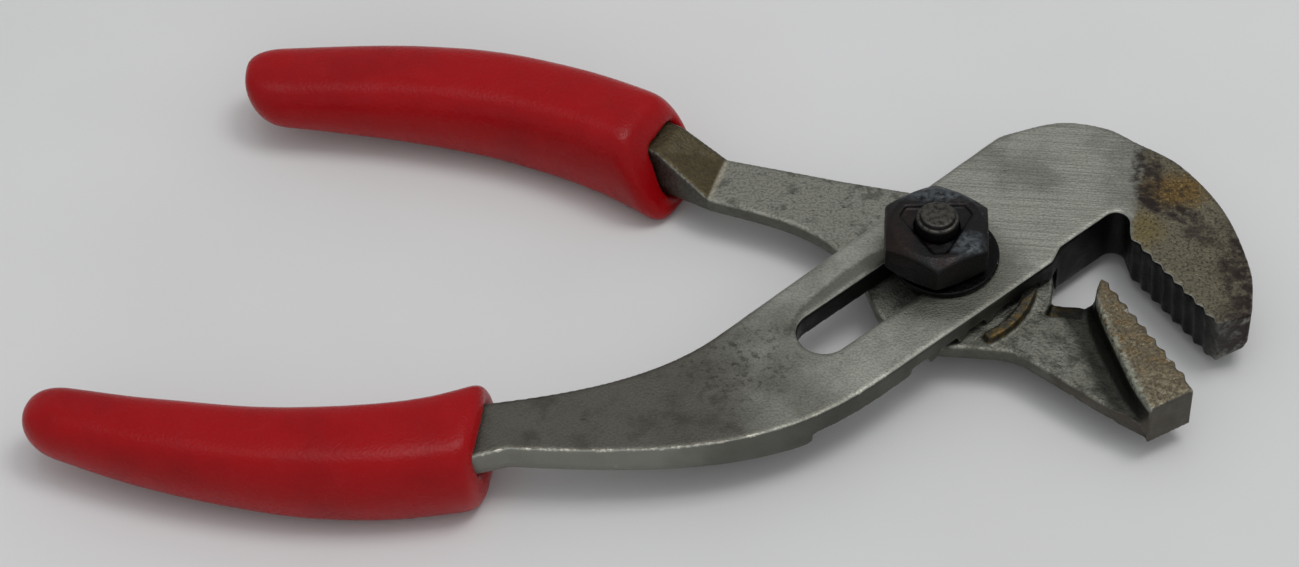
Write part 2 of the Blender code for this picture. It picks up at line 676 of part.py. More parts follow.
def pivot_nut():
    """Return the hexagon nut with its chamfered corners and the three-sided stake round the thread."""
    corner = NUT_ACROSS_FLATS / math.sqrt(3.0)
    flat = NUT_ACROSS_FLATS / 2 - NUT_CROWN_INSET
    origin = plan(0.0, 0.0)
    loop = [polar(origin, corner, NUT_TURN + math.pi / 2 + math.tau * i / 6) for i in range(6)]
    nut = black_steel("pivot_nut", prism(loop, NUT_UNDER - CUT_OVERRUN, NUT_TOP + CUT_OVERRUN))
    widest = corner + NUT_CROWN_INSET
    crown = [
        (flat, NUT_TOP),
        (widest, NUT_TOP - NUT_CORNER_CHAMFER),
        (widest, NUT_UNDER + NUT_CORNER_CHAMFER),
        (flat, NUT_UNDER),
    ]
    cut(nut, turned(crown), "INTERSECT")
    stake = []
    for i in range(3):
        angle = NUT_STAKE_TURN + math.tau * i / 3
        out = polar(origin, NUT_STAKE_RADIUS, angle)
        side = plan(-math.sin(angle), math.cos(angle)) * NUT_STAKE_CORNER / 2
        stake += [out - side, out + side]
    cut(nut, prism(stake, NUT_TOP - NUT_STAKE_DEPTH, NUT_TOP + CUT_OVERRUN))
    bore = THREAD_DIAMETER / 2 + THREAD_CLEARANCE
    cut(nut, turned([(bore, NUT_TOP + CUT_OVERRUN), (bore, NUT_UNDER - CUT_OVERRUN)]))
    return nut


def tang_cavity(stations):
    """Return a bmesh of the room that a tang takes in its grip."""
    roomy = []
    for s in stations:
        across = (s.far - s.near).normalized() * TANG_CLEARANCE
        top, bottom = s.top + TANG_CLEARANCE, s.bottom - TANG_CLEARANCE
        roomy.append(Station(s.near - across, s.far + across, top, bottom, s.edge))
    end_run = (stations[0].near - stations[1].near).normalized() * TANG_CLEARANCE
    roomy[0].near += end_run
    roomy[0].far += end_run
    return forging(roomy, [], 0.0, 0.0, [])


@dataclass
class Dip:
    """How a handle was dipped: the grip's end width, its tip's lift, and its mouth's slant, lean and setback."""

    end_width: float
    tip_lift: float
    slant: float
    lean: float
    setback: float


def flattened(rise):
    """Return a rise from -1 to 1 up an oval's side as one up an oval with a flattened top and bottom."""
    steep = GRIP_FLATNESS * rise
    limit = (1 + abs(steep) ** GRIP_FLAT_EDGE) / (1 + GRIP_FLATNESS**GRIP_FLAT_EDGE)
    return rise / limit ** (1 / GRIP_FLAT_EDGE)


def grip_rings(length, dip):
    """Return a grip's ovals as (share of the length, half width, half thickness, lift), mouth first."""
    rows = []
    for turn in (0.0, math.pi / 6, math.pi / 3, math.pi / 2):
        swell = between(-GRIP_LIP_INSET, GRIP_LIP, math.sin(turn))
        rows.append((GRIP_LIP_ROUND * (1 - math.cos(turn)) / length, swell))
    plain = GRIP_LIP_LENGTH / length
    rows += [(plain / 2, GRIP_LIP / 2), (plain, 0.0)]
    rows += [(between(plain, 1.0, (i + 1) / GRIP_ROWS), 0.0) for i in range(GRIP_ROWS)]
    rings = []
    for share, swell in rows:
        width = between(GRIP_MOUTH_WIDTH, dip.end_width, share**GRIP_WIDTH_TAPER)
        thickness = between(GRIP_MOUTH_THICKNESS, GRIP_END_THICKNESS, share**GRIP_THICKNESS_TAPER)
        rings.append((share, width / 2 + swell, thickness / 2 + swell, 0.0))
    for i in range(DOME_ROWS):
        turn = math.pi / 2 * (i + 1) / (DOME_ROWS + 1 / 3)
        shrink = math.cos(turn)
        past_end = 1 + GRIP_TIP * math.sin(turn) / length
        half_width = dip.end_width / 2 * shrink**GRIP_TIP_BLUNTNESS
        rings.append((past_end, half_width, GRIP_END_THICKNESS / 2 * shrink, dip.tip_lift * (1 - shrink)))
    return rings


def grip(name, handle, stations, dip):
    """Return a dipped grip: a flattened oval sleeve with a rounded, slanting mouth and a closed round end."""
    rings = []
    for share, half_width, half_thickness, lift in grip_rings(handle.length, dip):
        side, run, middle = handle.far_side(share), handle.run(share), handle.point(share)
        fade = max(0.0, 1.0 - share * handle.length / GRIP_SLANT_LENGTH)
        ring = []
        for i in range(GRIP_SIDES):
            angle = math.tau * i / GRIP_SIDES
            across, up = half_width * math.cos(angle), half_thickness * flattened(math.sin(angle))
            forward = dip.slant * across - dip.lean * up - dip.setback
            p = middle + side * across + run * fade * forward
            ring.append((p.x, p.y, GRIP_MIDDLE + lift + up))
        rings.append(ring)
    whole = [list(range(GRIP_SIDES))]
    sleeve = red_plastic(name, skin(rings, whole, whole))
    cut(sleeve, tang_cavity(stations[: TANG_STATIONS + MOUTH_STATIONS]))
    return sleeve


def main():
    """Build every piece and gather them under an empty on the pivot axis."""
    for old in list(bpy.data.objects):
        bpy.data.objects.remove(old, do_unlink=True)
    slotted, tongue = slotted_lever(), tongue_lever()
    bolt, washer, nut = pivot_bolt(), pivot_washer(), pivot_nut()
    slotted_dip = Dip(
        SLOTTED_GRIP_END_WIDTH, SLOTTED_TIP_LIFT, SLOTTED_MOUTH_SLANT, SLOTTED_MOUTH_LEAN, SLOTTED_MOUTH_SETBACK
    )
    tongue_dip = Dip(
        TONGUE_GRIP_END_WIDTH, TONGUE_TIP_LIFT, TONGUE_MOUTH_SLANT, TONGUE_MOUTH_LEAN, TONGUE_MOUTH_SETBACK
    )
    slotted_grip = grip("slotted_lever_grip", slotted_handle, slotted_stations(), slotted_dip)
    tongue_grip = grip("tongue_lever_grip", tongue_handle, tongue_stations(), tongue_dip)
    pivot = bpy.data.objects.new("pivot_axis", None)
    bpy.context.scene.collection.objects.link(pivot)
    for piece in (tongue, bolt, washer, nut):
        piece.parent = pivot
    slotted_grip.parent = slotted
    tongue_grip.parent = tongue


main()
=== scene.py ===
"""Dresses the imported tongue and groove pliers: forged steel, black fasteners, dipped grips, pale studio.

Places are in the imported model's frame: the pivot is the Z axis, +X runs to the jaws, +Y away from the
camera, and the tool lies on z = 0. Sizes are in millimetres unless a name says otherwise.
"""

import logging
import math
from abc import abstractmethod
from collections.abc import Mapping, Sequence
from dataclasses import dataclass, field
from enum import Enum
from typing import Protocol

import bmesh
import bpy
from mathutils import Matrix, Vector, noise

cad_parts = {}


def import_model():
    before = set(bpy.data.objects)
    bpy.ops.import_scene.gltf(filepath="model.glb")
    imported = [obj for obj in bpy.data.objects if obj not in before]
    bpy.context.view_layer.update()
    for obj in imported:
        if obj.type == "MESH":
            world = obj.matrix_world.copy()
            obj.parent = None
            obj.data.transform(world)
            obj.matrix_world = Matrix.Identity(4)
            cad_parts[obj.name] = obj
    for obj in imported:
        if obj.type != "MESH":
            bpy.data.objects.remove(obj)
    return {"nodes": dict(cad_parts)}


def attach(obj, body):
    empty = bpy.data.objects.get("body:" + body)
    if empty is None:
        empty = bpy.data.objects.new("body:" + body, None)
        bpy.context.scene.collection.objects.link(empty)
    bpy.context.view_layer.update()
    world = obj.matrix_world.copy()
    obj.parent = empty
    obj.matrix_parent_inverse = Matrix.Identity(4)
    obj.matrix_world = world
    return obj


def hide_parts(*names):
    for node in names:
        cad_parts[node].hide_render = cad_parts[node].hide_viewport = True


MM = 0.001
LOG = logging.getLogger("pliers")

Socket = bpy.types.NodeSocket
Triple = tuple[float, float, float]
EVEN: Triple = (1.0, 1.0, 1.0)

# A mix node repeats its sockets' names for each kind of value, so a colour mix goes by their places.
MIX_SHARE, MIX_LOWER, MIX_UPPER, MIX_RESULT = 0, 6, 7, 2


class Body(Enum):
    """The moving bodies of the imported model."""

    SLOTTED = "slotted_side"
    PIVOT = "pivot"
    TONGUE = "tongue_side"


class Reading(Enum):
    """What can be read at a point of a surface."""

    EAST = "how far it faces +X"
    NORTH = "how far it faces +Y"
    UP = "how far it faces up"
    BULGE = "how far it bulges: over a half on edges, under a half in corners"
    HEIGHT = "its height over the table"


def linear(hex_code: str) -> tuple[float, float, float, float]:
    """Turn an sRGB hex colour into linear light, by the curve of the sRGB standard.

    Args:
        hex_code: a colour as "#rrggbb".

    Returns:
        Red, green, blue and an alpha of one.
    """
    shares = [int(hex_code[i : i + 2], 16) / 255 for i in (1, 3, 5)]
    red, green, blue = (s / 12.92 if s <= 0.04045 else ((s + 0.055) / 1.055) ** 2.4 for s in shares)
    return red, green, blue, 1.0


def add(
    tree: bpy.types.NodeTree,
    kind: str,
    inputs: Mapping[str | int, object] | None = None,
    **settings: object,
) -> bpy.types.Node:
    """Add a node with its settings and links.

    Args:
        tree: the tree that takes the node.
        kind: the node's type name.
        inputs: for an input's name or place, the socket that feeds it or its plain value.
        settings: the node's own properties.

    Returns:
        The new node.
    """
    node = tree.nodes.new(kind)
    for name, setting in settings.items():
        setattr(node, name, setting)
    for place, value in (inputs or {}).items():
        if isinstance(value, Socket):
            tree.links.new(value, node.inputs[place])
        else:
            node.inputs[place].default_value = value
    return node


class Mask(Protocol):
    """A region of a surface, from 0 outside it to 1 inside."""

    @abstractmethod
    def draw(self, surface: "Surface") -> Socket:
        """Add the region's nodes to a surface and return their result."""


@dataclass(frozen=True)
class Where:
    """Where a reading lies past a level: 0 at the level low, 1 at the level whole."""

    reading: Reading
    low: float
    whole: float

    def draw(self, surface: "Surface") -> Socket:
        """Draw the region.

        Args:
            surface: the surface that takes the nodes.

        Returns:
            How far a point lies inside, from 0 to 1.
        """
        ends = {"Value": surface.readings[self.reading], "From Min": self.low, "From Max": self.whole}
        soft = add(surface.tree, "ShaderNodeMapRange", ends, interpolation_type="SMOOTHSTEP")
        return soft.outputs["Result"]


@dataclass(frozen=True)
class Marks:
    """Irregular marks of a size, where a noise lies past a level.

    The marks are stretched along X, Y and Z, turned by degrees round Z, have as many finer layers as
    detail, each as strong as roughness says, and are moved by shift so that two sets of a size differ.
    """

    size: float
    low: float
    whole: float
    stretch: Triple = EVEN
    turn: float = 0.0
    detail: float = 3.0
    shift: float = 0.0
    roughness: float = 0.6

    def draw(self, surface: "Surface") -> Socket:
        """Draw the marks.

        Args:
            surface: the surface that takes the nodes.

        Returns:
            How far a point lies inside, from 0 to 1.
        """
        tree = surface.tree
        about = {"Vector": surface.place, "Angle": -math.radians(self.turn)}
        turned = add(tree, "ShaderNodeVectorRotate", about, rotation_type="Z_AXIS").outputs["Vector"]
        scale = tuple(1.0 / (self.size * share) for share in self.stretch)
        spread = {0: turned, 1: scale, 2: (self.shift,) * 3}
        at = add(tree, "ShaderNodeVectorMath", spread, operation="MULTIPLY_ADD").outputs["Vector"]
        grains = {"Vector": at, "Scale": 1.0, "Detail": self.detail, "Roughness": self.roughness}
        ends = {"From Min": self.low, "From Max": self.whole}
        ends["Value"] = add(tree, "ShaderNodeTexNoise", grains).outputs["Fac"]
        return add(tree, "ShaderNodeMapRange", ends, interpolation_type="SMOOTHSTEP").outputs["Result"]


@dataclass(frozen=True)
class Spot:
    """A spot round a point: whole within the inner radius, gone past the outer one.

    It is stretched along X, Y and Z, turned by degrees round Z, and its rim wanders in and out by ragged
    in bays as wide as grain.
    """

    centre: Triple
    inner: float
    outer: float
    stretch: Triple = EVEN
    turn: float = 0.0
    ragged: float = 0.0
    grain: float = 2.0

    def draw(self, surface: "Surface") -> Socket:
        """Draw the spot.

        Args:
            surface: the surface that takes the nodes.

        Returns:
            How far a point lies inside, from 0 to 1.
        """
        tree = surface.tree
        about = {"Vector": surface.place, "Center": self.centre, "Angle": -math.radians(self.turn)}
        turned = add(tree, "ShaderNodeVectorRotate", about, rotation_type="Z_AXIS").outputs["Vector"]
        apart = add(tree, "ShaderNodeVectorMath", {0: turned, 1: self.centre}, operation="SUBTRACT")
        evened = {0: apart.outputs["Vector"], 1: tuple(1.0 / share for share in self.stretch)}
        reach = add(tree, "ShaderNodeVectorMath", evened, operation="MULTIPLY").outputs["Vector"]
        far = add(tree, "ShaderNodeVectorMath", {0: reach}, operation="LENGTH").outputs["Value"]
        wander = {0: surface.bays(self.grain), 1: self.ragged, 2: far}
        ends = {"From Min": self.outer + self.ragged / 2, "From Max": self.inner + self.ragged / 2}
        ends["Value"] = add(tree, "ShaderNodeMath", wander, operation="MULTIPLY_ADD").outputs["Value"]
        return add(tree, "ShaderNodeMapRange", ends, interpolation_type="SMOOTHSTEP").outputs["Result"]


@dataclass(frozen=True)
class Beyond:
    """What lies beyond a straight border through a point, in a direction, after a soft stretch.

    The border wanders in and out by ragged in bays as wide as grain.
    """

    point: Triple
    way: Triple
    soft: float
    ragged: float = 0.0
    grain: float = 2.0

    def draw(self, surface: "Surface") -> Socket:
        """Draw what lies beyond the border.

        Args:
            surface: the surface that takes the nodes.

        Returns:
            How far a point lies inside, from 0 to 1.
        """
        tree = surface.tree
        apart = add(tree, "ShaderNodeVectorMath", {0: surface.place, 1: self.point}, operation="SUBTRACT")
        along = {0: apart.outputs["Vector"], 1: self.way}
        past = add(tree, "ShaderNodeVectorMath", along, operation="DOT_PRODUCT").outputs["Value"]
        wander = {0: surface.bays(self.grain), 1: self.ragged, 2: past}
        ends = {"From Min": self.ragged / 2, "From Max": self.ragged / 2 + self.soft}
        ends["Value"] = add(tree, "ShaderNodeMath", wander, operation="MULTIPLY_ADD").outputs["Value"]
        return add(tree, "ShaderNodeMapRange", ends, interpolation_type="SMOOTHSTEP").outputs["Result"]


@dataclass(frozen=True)
class Layer:
    """A colour laid over those below it, by a share, where all of its masks hold."""

    colour: str
    share: float
    masks: tuple[Mask, ...]


@dataclass(frozen=True)
class Relief:
    """A fine relief: how far it rises, or sinks if below zero, where all of its masks hold."""

    rise: float
    masks: tuple[Mask, ...]


class Surface:
    """A material's nodes, laid out on the piece's own coordinates in millimetres."""

    bay_detail: float = 7.0
    bay_roughness: float = 0.65

    def __init__(self, name: str, constants: Mapping[str, object]) -> None:
        """Start a material.

        Args:
            name: the material's name.
            constants: shader inputs that are the same all over.
        """
        self.material = bpy.data.materials.new(name)
        self.material.use_nodes = True
        self.tree = self.material.node_tree
        self.shader = self.tree.nodes["Principled BSDF"]
        for socket, value in constants.items():
            self.shader.inputs[socket].default_value = value
        where = add(self.tree, "ShaderNodeTexCoord")
        in_mm = {0: where.outputs["Object"], "Scale": 1 / MM}
        self.place = add(self.tree, "ShaderNodeVectorMath", in_mm, operation="SCALE").outputs["Vector"]
        normal = add(self.tree, "ShaderNodeSeparateXYZ", {0: where.outputs["Normal"]})
        self.readings: dict[Reading, Socket] = {
            Reading.EAST: normal.outputs["X"],
            Reading.NORTH: normal.outputs["Y"],
            Reading.UP: normal.outputs["Z"],
            Reading.BULGE: add(self.tree, "ShaderNodeNewGeometry").outputs["Pointiness"],
            Reading.HEIGHT: add(self.tree, "ShaderNodeSeparateXYZ", {0: self.place}).outputs["Z"],
        }
        self.drawn: dict[Mask, Socket] = {}

    def bays(self, grain: float) -> Socket:
        """Draw a ragged noise.

        Args:
            grain: how wide its bays are.

        Returns:
            The noise, from 0 to 1.
        """
        bays = {"Vector": self.place, "Scale": 1.0 / grain}
        bays |= {"Detail": self.bay_detail, "Roughness": self.bay_roughness}
        return add(self.tree, "ShaderNodeTexNoise", bays).outputs["Fac"]

    def overlap(self, masks: Sequence[Mask], share: float = 1.0) -> Socket:
        """Draw where all of the masks hold at once.

        Args:
            masks: the masks, each drawn once on this surface.
            share: how strong the result is.

        Returns:
            The product of the masks and the share.
        """
        whole: object = share
        for mask in masks:
            if mask not in self.drawn:
                self.drawn[mask] = mask.draw(self)
            factors = {0: self.drawn[mask], 1: whole}
            whole = add(self.tree, "ShaderNodeMath", factors, operation="MULTIPLY").outputs["Value"]
        return whole

    def coloured(self, base: str, layers: Sequence[Layer]) -> None:
        """Lay colours over a base colour.

        Args:
            base: the lowest colour, as "#rrggbb".
            layers: the colours over it, lowest first.
        """
        colour: object = linear(base)
        for layer in layers:
            share = self.overlap(layer.masks, layer.share)
            parts = {MIX_SHARE: share, MIX_LOWER: colour, MIX_UPPER: linear(layer.colour)}
            colour = add(self.tree, "ShaderNodeMix", parts, data_type="RGBA").outputs[MIX_RESULT]
        self.tree.links.new(colour, self.shader.inputs["Base Color"])

    def roughened(self, smooth: float, rough: float, masks: Sequence[Mask]) -> None:
        """Let the roughness vary.

        Args:
            smooth: the roughness outside the masks.
            rough: the roughness where all of the masks hold.
            masks: where it is rough.
        """
        ends = {"Value": self.overlap(masks), "To Min": smooth, "To Max": rough}
        spread = add(self.tree, "ShaderNodeMapRange", ends).outputs["Result"]
        self.tree.links.new(spread, self.shader.inputs["Roughness"])

    def embossed(self, reliefs: Sequence[Relief]) -> None:
        """Lay fine reliefs over each other.

        Args:
            reliefs: the reliefs, lowest first.
        """
        links: dict[str | int, object] = {}
        for relief in reliefs:
            links |= {"Height": self.overlap(relief.masks), "Distance": relief.rise * MM}
            links["Normal"] = add(self.tree, "ShaderNodeBump", links).outputs["Normal"]
        self.tree.links.new(links["Normal"], self.shader.inputs["Normal"])


class Finish(Protocol):
    """What a finish gives: a material for a piece."""

    @abstractmethod
    def material(self) -> bpy.types.Material:
        """Return the finish as a material."""


# The upward faces, the upright faces and the outer edges of any piece.
TOP = Where(Reading.UP, 0.75, 0.95)
WALL = Where(Reading.UP, 0.75, 0.40)
EDGE = Where(Reading.BULGE, 0.53, 0.60)
METAL: Mapping[str, object] = {"Metallic": 1.0}


@dataclass(frozen=True)
class GroundHeadSteel:
    """Forged carbon steel whose broad face was ground flat and whose jaw was flame hardened.

    Grinding leaves fine straight lines and an even grey; handling has stained the neck; the flame has
    left straw, gold and purple brown oxide on the jaw; slot and throat keep black scale; the edges are
    rubbed bright. Painted shade darkens the throat's walls and edges, the walls by the lower edge and
    neck, the top round the washer and a band along the slot's far edge; a painted highlight lies along
    the neck's near edge.
    """

    name: str = "forged_carbon_steel_ground_and_flame_hardened"
    ground: str = "#a3a49a"
    line: str = "#808177"
    # Dirt on the top, and painted shade round the washer's foot.
    dirt_and_shade: str = "#6a6a61"
    stained: str = "#595750"
    blotch: str = "#454039"
    wall: str = "#7b7b74"
    shaded: str = "#3f3f39"
    straw: str = "#676150"
    fleck: str = "#9c9474"
    ochre: str = "#766840"
    gold: str = "#705a33"
    glint: str = "#b08f52"
    flame: str = "#322b29"
    pit: str = "#37342e"
    # Black scale; on the throat's walls it also stands for painted shade.
    scale: str = "#262625"
    bright: str = "#dedacb"
    smooth: float = 0.40
    rough: float = 0.58
    pit_rise: float = -0.02
    line_rise: float = 0.006
    grain_rise: float = 0.009
    dot_rise: float = -0.02
    wear: Mask = Marks(2.5, 0.3, 0.7)
    head: Mask = Spot((13.0, 8.0, 7.5), 14.0, 24.0, ragged=8.0, grain=6.0)
    neck: Mask = Spot((-34.0, -19.0, 7.5), 12.0, 27.0, ragged=10.0, grain=5.0)
    lower_edge: Mask = Spot((0.0, -9.0, 4.0), 11.0, 22.0)
    neck_edge: Mask = Spot((-15.0, -19.5, 4.0), 5.0, 12.0, ragged=3.0)
    # Painted shade on the top round the washer's foot.
    washer_shade: Mask = Spot((1.0, -1.5, 7.5), 5.0, 8.5, ragged=3.0, grain=2.0)
    jaw: Mask = Beyond((18.9, 8.0, 0.0), (0.98, -0.17, 0.0), 1.0, ragged=1.8, grain=1.6)
    root: Mask = Spot((19.4, 3.4, 7.5), 0.8, 3.2, ragged=1.5, grain=0.8)
    glow: Mask = Spot((23.0, 8.2, 7.5), 1.0, 3.0, stretch=(1.4, 1.0, 1.0), ragged=2.5, grain=0.9)
    seam: Mask = Spot((20.4, 10.0, 7.5), 1.0, 1.9, stretch=(1.0, 2.2, 1.0), ragged=2.4, grain=1.0)
    bar: Mask = Spot((22.2, 5.9, 7.5), 0.8, 1.5, stretch=(3.0, 1.0, 1.0), turn=-30.0, ragged=1.6, grain=0.8)
    patch: Mask = Spot((24.9, 2.6, 7.5), 0.6, 1.8, stretch=(1.5, 1.0, 1.0), turn=-45.0, ragged=2.4)
    rusty: Mask = Spot((-18.5, -12.8, 7.5), 2.0, 8.0, ragged=4.0)
    rim: Mask = Spot((30.0, -2.5, 6.0), 2.4, 5.0, stretch=(1.0, 2.1, 1.5), ragged=4.5, grain=1.4)
    tip: Mask = Spot((28.0, -9.0, 5.0), 2.4, 5.0, ragged=3.0, grain=1.2)
    slot: Mask = Spot((-5.28, -4.59, 6.0), 3.3, 3.9, stretch=(3.2, 1.0, 2.0), turn=41.0)
    # Painted shade in a band on the top along the slot's far edge.
    slot_edge_shade: Mask = Spot(
        (-6.1, -3.7, 7.5), 2.7, 3.2, stretch=(3.5, 1.0, 2.0), turn=41.0, ragged=0.8, grain=0.8
    )
    far_side: Mask = Beyond((-1.0, 1.1, 0.0), (-0.656, 0.755, 0.0), 0.8)
    throat: Mask = Spot((17.0, -1.0, 5.0), 9.5, 12.5)
    # Grinding grit leaves lines of about 0.05 mm; they are drawn at 0.16 mm so that they show.
    grinding: Mask = Marks(0.16, 0.42, 0.62, stretch=(90.0, 1.0, 1.0), turn=-5.0, detail=2.0)
    pits: Mask = Marks(0.55, 0.64, 0.74, detail=4.0)
    clouds: Mask = Marks(3.5, 0.45, 0.66, detail=7.0)
    fields: Mask = Marks(8.0, 0.42, 0.62, detail=5.0, shift=1.0)
    grain: Mask = Marks(0.25, 0.40, 0.62)
    mottle: Mask = Marks(0.9, 0.30, 0.58, detail=8.0, shift=7.0)
    dots: Mask = Marks(0.28, 0.50, 0.62, detail=5.0, shift=5.0)
    flecks: Mask = Marks(0.24, 0.56, 0.68, detail=4.0, shift=8.0)
    specks: Mask = Marks(0.7, 0.52, 0.64, detail=8.0, shift=11.0)
    spots: Mask = Marks(1.1, 0.50, 0.66, detail=8.0, shift=14.0)
    gaps: Mask = Marks(0.3, 0.44, 0.60, stretch=(1.6, 1.6, 1.0), detail=5.0, shift=3.0)
    breaks: Mask = Marks(1.4, 0.40, 0.62, detail=6.0, shift=17.0)
    past_slot: Mask = Beyond((-14.0, 0.0, 0.0), (-1.0, 0.0, 0.0), 2.0)
    below_slot: Mask = Beyond((2.3, -2.6, 0.0), (0.656, -0.755, 0.0), 0.5)
    slot_side: Mask = Spot((-12.0, -15.0, 6.0), 3.0, 11.0)
    # The rounded edge between the upward face and the upright face on the camera's side, where rubbed
    # bright metal carries a painted highlight.
    near_edge: tuple[Mask, ...] = (
        Where(Reading.NORTH, -0.16, -0.34),
        Where(Reading.UP, 0.96, 0.89),
        Where(Reading.UP, 0.28, 0.48),
    )

    def material(self) -> bpy.types.Material:
        """Make the slotted lever's steel.

        Returns:
            The material.
        """
        surface = Surface(self.name, METAL)
        # Rubbed bright metal with a painted highlight on the neck's near edge.
        worn_edge_and_highlight = (*self.near_edge, self.gaps, self.breaks)
        surface.coloured(
            self.ground,
            [
                Layer(self.line, 0.65, (self.grinding, self.head, TOP)),
                Layer(self.dirt_and_shade, 0.5, (self.fields, TOP)),
                # Painted shade round the washer's foot, in the dirt colour.
                Layer(self.dirt_and_shade, 0.8, (self.washer_shade, TOP)),
                Layer(self.stained, 0.9, (self.neck, TOP)),
                Layer(self.blotch, 0.6, (self.clouds, self.neck, TOP)),
                Layer(self.blotch, 0.25, (self.grain, TOP)),
                Layer(self.wall, 0.8, (WALL,)),
                Layer(self.shaded, 0.8, (WALL, self.lower_edge)),
                Layer(self.shaded, 0.55, (WALL, self.neck_edge)),
                # Painted shade along the slot's far edge.
                Layer(self.shaded, 0.65, (self.slot_edge_shade, self.far_side, TOP)),
                Layer(self.pit, 0.6, (self.rusty, self.specks, TOP)),
                Layer(self.straw, 0.9, (self.jaw, TOP)),
                Layer(self.ochre, 0.7, (self.root, self.jaw, TOP)),
                Layer(self.gold, 0.9, (self.glow, self.jaw)),
                Layer(self.flame, 0.6, (self.dots, self.jaw)),
                Layer(self.fleck, 0.5, (self.flecks, self.jaw, TOP)),
                Layer(self.glint, 0.6, (self.flecks, self.glow, self.jaw)),
                Layer(self.flame, 0.7, (self.glow, self.spots)),
                Layer(self.flame, 0.9, (self.seam, self.mottle)),
                Layer(self.flame, 0.95, (self.bar, self.mottle)),
                Layer(self.flame, 0.7, (self.patch, self.mottle)),
                Layer(self.flame, 0.95, (self.rim, self.mottle)),
                Layer(self.flame, 0.9, (self.tip, self.mottle)),
                Layer(self.pit, 0.5, (self.pits, TOP)),
                Layer(self.bright, 0.22, (EDGE, self.gaps)),
                # Painted highlight over rubbed bright metal along the near edge.
                Layer(self.bright, 0.7, (*worn_edge_and_highlight, self.past_slot)),
                Layer(self.bright, 0.5, (*worn_edge_and_highlight, self.below_slot, self.slot_side)),
                Layer(self.shaded, 0.8, (self.throat, EDGE)),
                # Black scale on the throat's walls, with painted shade there too.
                Layer(self.scale, 1.0, (self.throat, WALL)),
                Layer(self.scale, 1.0, (self.slot, WALL)),
            ],
        )
        surface.roughened(self.smooth, self.rough, (self.wear,))
        surface.embossed(
            [
                Relief(self.pit_rise, (self.pits,)),
                Relief(self.line_rise, (self.grinding, self.head, TOP)),
                Relief(self.grain_rise, (self.grain,)),
                Relief(self.dot_rise, (self.dots, self.jaw)),
            ]
        )
        return surface.material


